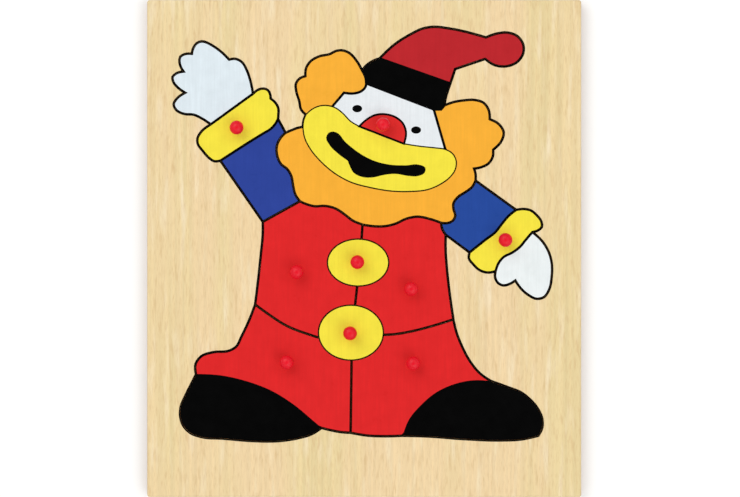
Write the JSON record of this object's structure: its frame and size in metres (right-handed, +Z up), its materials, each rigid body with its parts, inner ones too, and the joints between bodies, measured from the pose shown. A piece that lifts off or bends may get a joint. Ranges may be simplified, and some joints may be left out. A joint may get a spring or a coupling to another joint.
{
  "type": "knob puzzle",
  "caption": "Flat wooden puzzle for small children: a tray with a sawn recess holds a printed clown in lift-out pieces, each with a small round knob to hold.",
  "frame": {"origin": "middle of the underside, at the bottom centre of the bounding box", "axes": "board lies flat; +Z up out of the printed face, +Y to the clown's hat, +X to the right"},
  "size_m": [0.262, 0.3, 0.0192],
  "materials": {
    "sheet_wood": "pale plywood, sanded and clear varnished, satin",
    "backing": "thin hardboard backing, matt",
    "black_ink": "screen-printed black, satin",
    "white_ink": "screen-printed cool white, satin",
    "red_ink": "screen-printed red, satin",
    "dull_red_ink": "screen-printed dull red, satin",
    "yellow_ink": "screen-printed yellow, satin",
    "orange_ink": "screen-printed orange, satin",
    "blue_ink": "screen-printed blue, satin",
    "knob_lacquer": "bright red, glossy",
    "screw_steel": "zinc-plated steel"
  },
  "bodies": {
    "tray": {"tray_back": "backing", "tray_frame": "sheet_wood", "tray_line": "black_ink"},
    "head": {"head_blank": "sheet_wood", "head_black": "black_ink", "head_face": "white_ink", "head_nose": "dull_red_ink", "head_mouth": "yellow_ink", "head_hair": "orange_ink", "head_beard": "orange_ink", "head_hat": "dull_red_ink", "head_knob": "knob_lacquer", "head_screw": "screw_steel"},
    "left_arm": {"left_arm_blank": "sheet_wood", "left_arm_black": "black_ink", "left_arm_glove": "white_ink", "left_arm_cuff": "yellow_ink", "left_arm_sleeve": "blue_ink", "left_arm_knob": "knob_lacquer", "left_arm_screw": "screw_steel"},
    "right_arm": {"right_arm_blank": "sheet_wood", "right_arm_black": "black_ink", "right_arm_glove": "white_ink", "right_arm_cuff": "yellow_ink", "right_arm_sleeve": "blue_ink", "right_arm_knob": "knob_lacquer", "right_arm_screw": "screw_steel"},
    "left_chest": {"left_chest_blank": "sheet_wood", "left_chest_black": "black_ink", "left_chest_red": "red_ink", "left_chest_knob": "knob_lacquer", "left_chest_screw": "screw_steel"},
    "right_chest": {"right_chest_blank": "sheet_wood", "right_chest_black": "black_ink", "right_chest_red": "red_ink", "right_chest_knob": "knob_lacquer", "right_chest_screw": "screw_steel"},
    "top_button": {"top_button_blank": "sheet_wood", "top_button_black": "black_ink", "top_button_yellow": "yellow_ink", "top_button_knob": "knob_lacquer", "top_button_screw": "screw_steel"},
    "bottom_button": {"bottom_button_blank": "sheet_wood", "bottom_button_black": "black_ink", "bottom_button_yellow": "yellow_ink", "bottom_button_knob": "knob_lacquer", "bottom_button_screw": "screw_steel"},
    "left_leg": {"left_leg_blank": "sheet_wood", "left_leg_black": "black_ink", "left_leg_red": "red_ink", "left_leg_knob": "knob_lacquer", "left_leg_screw": "screw_steel"},
    "right_leg": {"right_leg_blank": "sheet_wood", "right_leg_black": "black_ink", "right_leg_red": "red_ink", "right_leg_knob": "knob_lacquer", "right_leg_screw": "screw_steel"}
  },
  "joints": [
    {"name": "head_lift", "type": "slide", "parent": "tray", "child": "head", "axis": [0, 0, 1], "range_m": [0, 0.03]},
    {"name": "left_arm_lift", "type": "slide", "parent": "tray", "child": "left_arm", "axis": [0, 0, 1], "range_m": [0, 0.03]},
    {"name": "right_arm_lift", "type": "slide", "parent": "tray", "child": "right_arm", "axis": [0, 0, 1], "range_m": [0, 0.03]},
    {"name": "left_chest_lift", "type": "slide", "parent": "tray", "child": "left_chest", "axis": [0, 0, 1], "range_m": [0, 0.03]},
    {"name": "right_chest_lift", "type": "slide", "parent": "tray", "child": "right_chest", "axis": [0, 0, 1], "range_m": [0, 0.03]},
    {"name": "top_button_lift", "type": "slide", "parent": "tray", "child": "top_button", "axis": [0, 0, 1], "range_m": [0, 0.03]},
    {"name": "bottom_button_lift", "type": "slide", "parent": "tray", "child": "bottom_button", "axis": [0, 0, 1], "range_m": [0, 0.03]},
    {"name": "left_leg_lift", "type": "slide", "parent": "tray", "child": "left_leg", "axis": [0, 0, 1], "range_m": [0, 0.03]},
    {"name": "right_leg_lift", "type": "slide", "parent": "tray", "child": "right_leg", "axis": [0, 0, 1], "range_m": [0, 0.03]}
  ]
}
